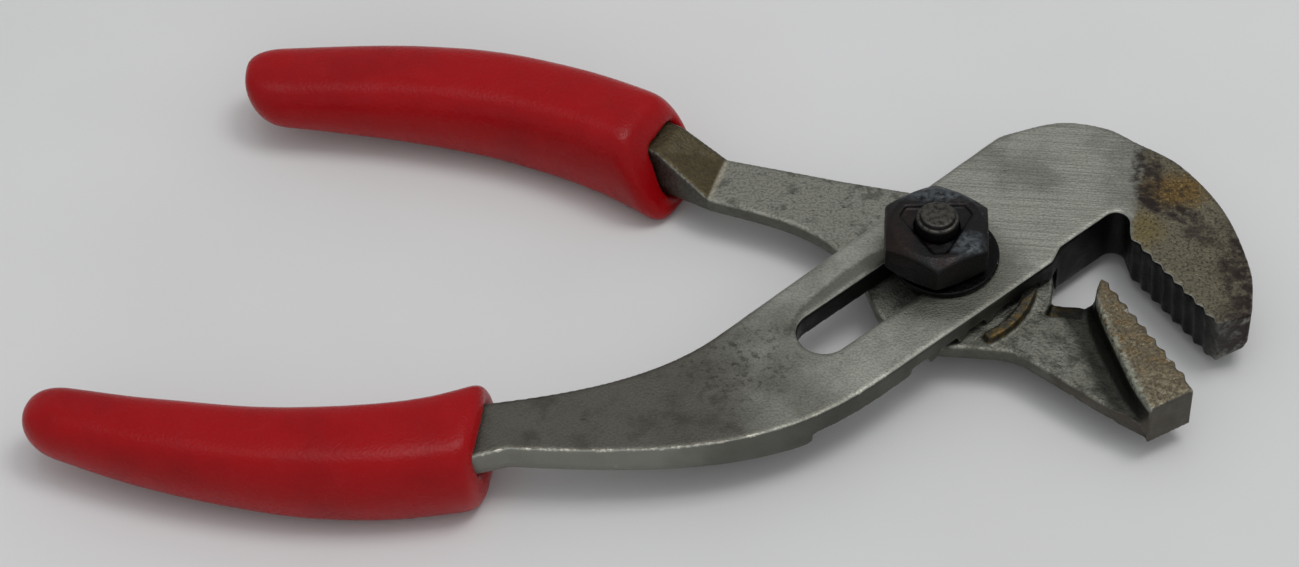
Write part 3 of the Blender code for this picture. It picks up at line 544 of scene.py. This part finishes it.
@dataclass(frozen=True)
class ScaledForgedSteel:
    """Forged carbon steel with remains of its forging scale.

    The skin is grainy; the ramp to the handle keeps brown scale, with a painted highlight along its crease;
    the web is rubbed grey with dark streaks; tongue and ledge show brassy rubs over painted shade; the
    jaw's back keeps black scale, deepened by painted shade, under a bright worn edge; painted shade also
    darkens the jaw's south faces and the web where it meets the jaw's slope.
    """

    name: str = "forged_carbon_steel_with_scale"
    rubbed: str = "#8d8d83"
    speck: str = "#45453e"
    streak: str = "#34342f"
    brown: str = "#4f4631"
    # The pale line of a painted highlight on the ramp's crease.
    pale: str = "#b5ad98"
    wall: str = "#5d5d56"
    web: str = "#7b7b71"
    jaw_top: str = "#756c5a"
    jaw_gold: str = "#86704f"
    fleck: str = "#b8ad8b"
    worn: str = "#a9ad9e"
    brass: str = "#735d33"
    # Dark dots on the jaw, and painted shade on the tongue.
    dull_and_shade: str = "#3f3b31"
    # Painted shade on the jaw's faces that look south.
    end: str = "#57524a"
    # Black for painted shade on the ledge, the jaw's back and the web's foot, for the jaw's back scale, and
    # for darker concave corners.
    black: str = "#232321"
    bright: str = "#d9d8ca"
    smooth: float = 0.42
    rough: float = 0.62
    speck_rise: float = -0.02
    grain_rise: float = 0.02
    dot_rise: float = -0.04
    wear: Mask = Marks(1.5, 0.3, 0.7)
    ramp: Mask = Beyond((-20.9, 9.4, 0.0), (-0.943, 0.332, 0.0), 0.3)
    # Painted highlight along the crease at the ramp's border.
    crease_highlight: Mask = Spot((-19.95, 12.1, 5.0), 0.12, 0.4, stretch=(12.0, 1.0, 12.0), turn=70.6)
    jaw_side: Mask = Beyond((10.0, 0.0, 0.0), (1.0, 0.0, 0.0), 1.0)
    near_side: Mask = Beyond((6.0, -6.0, 0.0), (0.5, -0.87, 0.0), 1.0)
    middle: Mask = Spot((10.0, -10.0, 4.8), 1.0, 3.6, stretch=(1.4, 1.0, 1.0), turn=-40.0, ragged=2.5)
    high: Mask = Where(Reading.HEIGHT, 6.3, 6.7)
    above_web: Mask = Where(Reading.HEIGHT, 4.80, 5.0)
    under_web: Mask = Where(Reading.HEIGHT, 4.4, 3.9)
    # Faces that look west, darkened with painted shade.
    shaded_west: Mask = Where(Reading.EAST, -0.06, -0.25)
    # Faces that look south, darkened with painted shade.
    shaded_south: Mask = Where(Reading.NORTH, -0.4, -0.7)
    back_edge: Mask = Beyond((17.1, -10.6, 0.0), (-0.959, -0.284, 0.0), 0.8, ragged=1.6, grain=0.5)
    jaw_low: Mask = Spot((19.5, -17.0, 6.9), 1.5, 5.0, ragged=3.0, grain=1.0)
    shoulder: Mask = Where(Reading.HEIGHT, 6.6, 6.1)
    # Painted shade on the web where it meets the jaw's slope.
    valley_shade: Mask = Beyond((13.1, -11.9, 0.0), (0.956, 0.294, 0.0), 1.4, ragged=1.6, grain=1.2)
    not_east: Mask = Where(Reading.EAST, 0.35, 0.05)
    ridge: Mask = Spot((8.0, -5.0, 5.3), 9.0, 11.0)
    # Painted shade on the low ledge under the slotted lever's jaw.
    ledge: Mask = Spot((14.0, -3.2, 3.5), 3.4, 5.0)
    inner_ledge: Mask = Spot((11.4, -2.6, 3.5), 1.0, 2.4, ragged=1.5, grain=0.8)
    grain: Mask = Marks(0.28, 0.42, 0.64, detail=4.0)
    specks: Mask = Marks(0.6, 0.58, 0.70, detail=4.0, shift=2.0)
    blots: Mask = Marks(1.8, 0.54, 0.66, detail=8.0, shift=13.0)
    streaks: Mask = Marks(0.6, 0.50, 0.66, stretch=(2.5, 1.0, 1.0), turn=-40.0, detail=6.0, shift=3.0)
    smudges: Mask = Marks(2.2, 0.46, 0.62, detail=6.0, shift=4.0)
    rust: Mask = Marks(0.9, 0.46, 0.60, detail=7.0, shift=5.0)
    dots: Mask = Marks(0.32, 0.46, 0.64, detail=7.0, shift=6.0)
    flecks: Mask = Marks(0.28, 0.52, 0.70, detail=6.0, shift=9.0)
    gaps: Mask = Marks(0.6, 0.36, 0.54, detail=4.0, shift=3.0)
    hollow: Mask = Where(Reading.BULGE, 0.47, 0.41)

    def material(self) -> bpy.types.Material:
        """Make the tongue lever's steel.

        Returns:
            The material.
        """
        surface = Surface(self.name, METAL)
        jaw_face = (self.jaw_side, self.high, TOP)
        tongue = (self.ridge, self.above_web)
        surface.coloured(
            self.rubbed,
            [
                Layer(self.speck, 0.6, (self.blots,)),
                Layer(self.web, 0.95, (self.near_side,)),
                Layer(self.rubbed, 0.6, (self.middle,)),
                Layer(self.speck, 0.4, (self.grain,)),
                Layer(self.speck, 0.6, (self.specks,)),
                Layer(self.streak, 0.5, (self.streaks, self.near_side)),
                Layer(self.streak, 0.5, (self.smudges, self.near_side)),
                Layer(self.wall, 0.8, (WALL,)),
                Layer(self.streak, 0.3, (self.ramp, WALL)),
                Layer(self.brown, 0.95, (self.ramp, TOP)),
                Layer(self.streak, 0.4, (self.ramp, self.dots)),
                # Painted highlight along the crease at the ramp's border.
                Layer(self.pale, 0.4, (self.crease_highlight, TOP)),
                # Painted shade darkens the tongue.
                Layer(self.dull_and_shade, 0.8, tongue),
                Layer(self.brass, 0.7, (*tongue, self.rust)),
                # Painted shade on the low ledge under the slotted lever's jaw.
                Layer(self.black, 0.85, (self.ledge, self.under_web)),
                Layer(self.brass, 0.6, (self.inner_ledge, self.under_web, self.rust)),
                Layer(self.jaw_top, 1.0, jaw_face),
                Layer(self.jaw_gold, 0.6, (*jaw_face, self.rust)),
                Layer(self.dull_and_shade, 0.5, (*jaw_face, self.dots)),
                Layer(self.fleck, 0.4, (*jaw_face, self.flecks)),
                Layer(self.worn, 0.35, (self.jaw_low, self.high, TOP, self.rust)),
                Layer(self.worn, 0.75, (self.jaw_side, self.high, self.back_edge, self.gaps)),
                # Black scale on the jaw's back, deepened by painted shade on its west faces.
                Layer(self.black, 0.95, (self.jaw_side, self.above_web, self.shoulder, self.shaded_west)),
                # Painted shade on the web where it meets the jaw's slope.
                Layer(self.black, 0.8, (self.valley_shade, self.shoulder, self.not_east)),
                # Painted shade on the jaw's faces that look south, toward the camera.
                Layer(self.end, 0.8, (self.jaw_side, self.shaded_south)),
                Layer(self.black, 0.8, (self.hollow,)),
                Layer(self.bright, 0.6, (EDGE, self.gaps, self.jaw_side)),
            ],
        )
        surface.roughened(self.smooth, self.rough, (self.wear,))
        surface.embossed(
            [
                Relief(self.speck_rise, (self.specks,)),
                Relief(self.grain_rise, (self.grain,)),
                Relief(self.dot_rise, (self.jaw_side, self.high, self.dots)),
            ]
        )
        return surface.material


@dataclass(frozen=True)
class BlackOxideSteel:
    """Turned and milled steel blackened in a hot oxide bath.

    The film is a deep black with brown tints, and a spanner and handling have rubbed it to blue grey on
    the crown's far side and near corner.
    """

    name: str = "black_oxide_steel"
    black: str = "#292929"
    deep: str = "#171717"
    brown: str = "#342c29"
    worn: str = "#5c6266"
    end: str = "#58564f"
    bright: str = "#a4a8ad"
    smooth: float = 0.34
    rough: float = 0.55
    grain_rise: float = 0.015
    crown: Mask = Where(Reading.UP, 0.6, 0.9)
    chamfer: Mask = Spot((-4.2, -1.8, 11.6), 0.8, 2.6, stretch=(1.0, 2.2, 1.0), ragged=1.5, grain=1.0)
    far_rub: Mask = Spot((0.4, 4.1, 12.0), 0.6, 1.7, stretch=(3.2, 1.0, 1.0), ragged=1.8, grain=0.7)
    near_rub: Mask = Spot((2.6, -2.3, 12.0), 0.5, 1.7, stretch=(1.4, 1.0, 1.0), ragged=1.8, grain=0.7)
    bolt_end: Mask = Where(Reading.HEIGHT, 12.6, 13.0)
    washer: Mask = Where(Reading.HEIGHT, 8.5, 8.2)
    tints: Mask = Marks(2.2, 0.45, 0.65, shift=4.0)
    film: Mask = Marks(0.5, 0.3, 0.6, detail=5.0)
    chips: Mask = Marks(0.5, 0.52, 0.66, shift=9.0)
    wear: Mask = Marks(1.0, 0.3, 0.7, shift=2.0)
    grain: Mask = Marks(0.3, 0.3, 0.7)

    def material(self) -> bpy.types.Material:
        """Make the fasteners' blackened steel.

        Returns:
            The material.
        """
        surface = Surface(self.name, METAL)
        surface.coloured(
            self.black,
            [
                Layer(self.brown, 0.5, (self.tints,)),
                Layer(self.deep, 0.9, (self.washer,)),
                Layer(self.brown, 0.9, (self.chamfer, self.film)),
                Layer(self.end, 0.8, (self.bolt_end, self.crown, self.film)),
                Layer(self.worn, 0.9, (self.far_rub, self.crown, self.film)),
                Layer(self.worn, 0.9, (self.near_rub, self.crown, self.film)),
                Layer(self.bright, 0.4, (EDGE, self.chips)),
            ],
        )
        surface.roughened(self.smooth, self.rough, (self.wear,))
        surface.embossed([Relief(self.grain_rise, (self.grain,))])
        return surface.material


@dataclass(frozen=True)
class DippedVinyl:
    """Red vinyl plastisol, dipped on hot steel and cured.

    It cures with a soft gloss and a fine orange peel that breaks the highlights up; the red is deep and
    greys a little where hands rub it.
    """

    name: str = "red_vinyl_plastisol_dipped"
    red: str = "#9b040b"
    deep: str = "#820309"
    rubbed: str = "#b0262b"
    ior: float = 1.53
    specular_level: float = 0.16
    smooth: float = 0.20
    rough: float = 0.30
    peel_rise: float = 0.022
    pools: Mask = Marks(9.0, 0.4, 0.7)
    handling: Mask = Marks(3.0, 0.5, 0.75, shift=5.0)
    sheen: Mask = Marks(4.0, 0.3, 0.7, shift=2.0)
    peel: Mask = Marks(0.3, 0.25, 0.75, detail=3.0)

    def material(self) -> bpy.types.Material:
        """Make the grips' vinyl.

        Returns:
            The material.
        """
        surface = Surface(self.name, {"IOR": self.ior, "Specular IOR Level": self.specular_level})
        surface.coloured(
            self.red, [Layer(self.deep, 0.5, (self.pools,)), Layer(self.rubbed, 0.1, (self.handling,))]
        )
        surface.roughened(self.smooth, self.rough, (self.sheen,))
        surface.embossed([Relief(self.peel_rise, (self.peel,))])
        return surface.material


@dataclass(frozen=True)
class PaperFloor:
    """Matt pale paper: an even off-white with the least cloudiness."""

    name: str = "matt_pale_paper"
    pale: str = "#dadad9"
    cloud: str = "#d5d5d3"
    specular_level: float = 0.2
    smooth: float = 0.75
    rough: float = 0.85
    clouds: Mask = Marks(60.0, 0.3, 0.7)
    nap: Mask = Marks(20.0, 0.3, 0.7)

    def material(self) -> bpy.types.Material:
        """Make the floor's paper.

        Returns:
            The material.
        """
        surface = Surface(self.name, {"Specular IOR Level": self.specular_level})
        surface.coloured(self.pale, [Layer(self.cloud, 1.0, (self.clouds,))])
        surface.roughened(self.smooth, self.rough, (self.nap,))
        return surface.material


@dataclass
class Skin:
    """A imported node's shape with its edges eased and its surface made fine enough for smooth light.

    The shape is cut into faces as wide as voxel and eased in as many steps as easing says. Plump and swell
    then move it outwards, and in and out in waves as long as swell_size.
    """

    node: str
    body: Body
    finish: Finish
    voxel: float
    easing: int
    plump: float = 0.0
    swell: float = 0.0
    swell_size: float = 8.0
    weld: float = 0.001
    ease_share: float = 0.5

    def build(self, nodes: Mapping[str, bpy.types.Object]) -> bpy.types.Object:
        """Make the piece from its node's shape.

        Args:
            nodes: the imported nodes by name.

        Returns:
            The finished piece, riding on its body.
        """
        shape = bmesh.new()
        shape.from_mesh(nodes[self.node].data)
        bmesh.ops.remove_doubles(shape, verts=shape.verts, dist=self.weld * MM)
        mesh = bpy.data.meshes.new(self.node + "_skin")
        shape.to_mesh(mesh)
        shape.free()
        piece = bpy.data.objects.new(self.node + "_skin", mesh)
        bpy.context.scene.collection.objects.link(piece)
        piece.data = self.eased(piece)
        piece.modifiers.clear()
        self.swollen(piece.data)
        piece.data.shade_smooth()
        self.dress(piece)
        return piece

    def eased(self, piece: bpy.types.Object) -> bpy.types.Mesh:
        """Cut a piece into even small faces and ease its edges.

        Args:
            piece: the piece, which takes the modifiers that do it.

        Returns:
            The eased mesh.
        """
        fine = piece.modifiers.new("fine", "REMESH")
        fine.mode = "VOXEL"
        fine.voxel_size = self.voxel * MM
        ease = piece.modifiers.new("ease", "SMOOTH")
        ease.factor = self.ease_share
        ease.iterations = self.easing
        depsgraph = bpy.context.evaluated_depsgraph_get()
        return bpy.data.meshes.new_from_object(piece.evaluated_get(depsgraph))

    def swollen(self, mesh: bpy.types.Mesh) -> None:
        """Plump a mesh along its normals, and move it in and out in broad, shallow waves.

        Args:
            mesh: the mesh that is moved.
        """
        if not (self.plump or self.swell):
            return
        places = [vertex.co.copy() for vertex in mesh.vertices]
        normals = [normal.vector.copy() for normal in mesh.vertex_normals]
        for vertex, place, normal in zip(mesh.vertices, places, normals):
            rise = self.plump + self.swell * noise.noise(place / (self.swell_size * MM))
            vertex.co = place + normal * rise * MM

    def dress(self, piece: bpy.types.Object) -> None:
        """Give a piece its finish and its body, and hide the node that it stands for.

        Args:
            piece: the piece that is dressed.
        """
        piece.data.materials.clear()
        piece.data.materials.append(self.finish.material())
        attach(piece, self.body.value)
        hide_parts(self.node)


@dataclass
class LeverSide:
    """A steel lever and the grip dipped on it."""

    lever: str
    grip: str
    body: Body
    steel: Finish
    vinyl: Finish = field(default_factory=DippedVinyl)
    steel_voxel: float = 0.2
    steel_easing: int = 2
    vinyl_voxel: float = 0.24
    vinyl_easing: int = 60
    vinyl_plump: float = 0.15
    vinyl_swell: float = 0.12

    def build(self, nodes: Mapping[str, bpy.types.Object]) -> list[bpy.types.Object]:
        """Build the lever and its grip.

        Args:
            nodes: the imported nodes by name.

        Returns:
            The lever and the grip.
        """
        lever = Skin(self.lever, self.body, self.steel, self.steel_voxel, self.steel_easing)
        grip = Skin(self.grip, self.body, self.vinyl, self.vinyl_voxel, self.vinyl_easing)
        grip.plump = self.vinyl_plump
        grip.swell = self.vinyl_swell
        return [lever.build(nodes), grip.build(nodes)]


@dataclass
class SlottedSide(LeverSide):
    """The slotted lever and its grip."""

    lever: str = "slotted_lever"
    grip: str = "slotted_lever_grip"
    body: Body = Body.SLOTTED
    steel: Finish = field(default_factory=GroundHeadSteel)


@dataclass
class TongueSide(LeverSide):
    """The tongue lever and its grip."""

    lever: str = "tongue_lever"
    grip: str = "tongue_lever_grip"
    body: Body = Body.TONGUE
    steel: Finish = field(default_factory=ScaledForgedSteel)


@dataclass
class PivotSet:
    """The bolt, washer and nut that slide along the slot."""

    steel: Finish = field(default_factory=BlackOxideSteel)
    voxel: float = 0.07
    turned_easing: int = 2
    nut_easing: int = 40

    def build(self, nodes: Mapping[str, bpy.types.Object]) -> list[bpy.types.Object]:
        """Build the three fasteners.

        Args:
            nodes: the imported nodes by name.

        Returns:
            The bolt, the washer and the nut.
        """
        easings = {
            "pivot_bolt": self.turned_easing,
            "pivot_washer": self.turned_easing,
            "pivot_nut": self.nut_easing,
        }
        skins = [Skin(node, Body.PIVOT, self.steel, self.voxel, easing) for node, easing in easings.items()]
        return [skin.build(nodes) for skin in skins]


@dataclass
class Studio:
    """The floor, the light and the camera. Lengths are in metres."""

    paper: PaperFloor = field(default_factory=PaperFloor)
    floor_side: float = 4.0
    floor_cells: int = 4
    floor_drop: float = 0.00005
    camera_place: Triple = (-0.026516, -0.279680, 0.325383)
    camera_tilt: float = math.radians(41.0)
    clip_start: float = 0.01
    focal_length_mm: float = 126.29
    sensor_width_mm: float = 36.0
    lamp_place: Triple = (0.22, 0.02, 0.78)
    lamp_side: float = 0.28
    lamp_watts: float = 1.4
    room_colour: str = "#fbfcff"
    far_wall_light: float = 0.48
    near_wall_light: float = 0.6
    wall_turn: float = 0.5
    ceiling_light: float = 2.4
    ceiling_edge: float = 0.92

    def build(self) -> None:
        """Lay the floor, hang the lights and set the camera."""
        self.lay_floor()
        self.hang_lamp()
        self.fill_room()
        self.set_camera()

    def lay_floor(self) -> None:
        """Lay the floor just under the tool."""
        shape = bmesh.new()
        cells = self.floor_cells
        bmesh.ops.create_grid(shape, x_segments=cells, y_segments=cells, size=self.floor_side / 2)
        mesh = bpy.data.meshes.new("floor")
        shape.to_mesh(mesh)
        shape.free()
        mesh.materials.append(self.paper.material())
        floor = bpy.data.objects.new("floor", mesh)
        floor.location.z = -self.floor_drop
        bpy.context.scene.collection.objects.link(floor)

    def hang_lamp(self) -> None:
        """Hang one soft lamp high over the tool's jaw side."""
        light = bpy.data.lights.new("lamp", "AREA")
        light.size = self.lamp_side
        light.energy = self.lamp_watts
        lamp = bpy.data.objects.new("lamp", light)
        lamp.location = self.lamp_place
        lamp.rotation_euler = (-Vector(self.lamp_place)).to_track_quat("-Z", "Y").to_euler()
        bpy.context.scene.collection.objects.link(lamp)

    def fill_room(self) -> None:
        """Fill the room with soft light, brightest from the ceiling and dimmest from the far wall."""
        world = bpy.data.worlds.new("room")
        world.use_nodes = True
        bpy.context.scene.world = world
        tree = world.node_tree
        way = add(tree, "ShaderNodeTexCoord").outputs["Generated"]
        shares = add(tree, "ShaderNodeSeparateXYZ", {0: way})
        across = {"Value": shares.outputs["Y"], "From Min": -self.wall_turn, "From Max": self.wall_turn}
        across |= {"To Min": self.near_wall_light, "To Max": self.far_wall_light}
        walls = add(tree, "ShaderNodeMapRange", across, interpolation_type="SMOOTHSTEP").outputs["Result"]
        ends = {"Value": shares.outputs["Z"], "From Min": self.ceiling_edge}
        ends |= {"To Min": walls, "To Max": self.ceiling_light}
        strength = add(tree, "ShaderNodeMapRange", ends).outputs["Result"]
        tree.links.new(strength, tree.nodes["Background"].inputs["Strength"])
        tree.nodes["Background"].inputs["Color"].default_value = linear(self.room_colour)

    def set_camera(self) -> None:
        """Set the camera where the photograph was taken from."""
        lens = bpy.data.cameras.new("camera")
        lens.sensor_fit = "HORIZONTAL"
        lens.sensor_width = self.sensor_width_mm
        lens.lens = self.focal_length_mm
        lens.clip_start = self.clip_start
        camera = bpy.data.objects.new("camera", lens)
        camera.location = self.camera_place
        camera.rotation_euler = (self.camera_tilt, 0.0, 0.0)
        bpy.context.scene.collection.objects.link(camera)
        bpy.context.scene.camera = camera


def main() -> None:
    """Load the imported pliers, dress each side, set the studio and note the sizes."""
    logging.basicConfig(level=logging.INFO, format="%(name)s: %(message)s")
    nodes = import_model()["nodes"]
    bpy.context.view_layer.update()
    for group in (SlottedSide(), TongueSide(), PivotSet()):
        for piece in group.build(nodes):
            LOG.info("%s: %d faces", piece.name, len(piece.data.polygons))
    Studio().build()
    bpy.context.scene.view_settings.view_transform = "Standard"


if __name__ == "__main__":
    main()
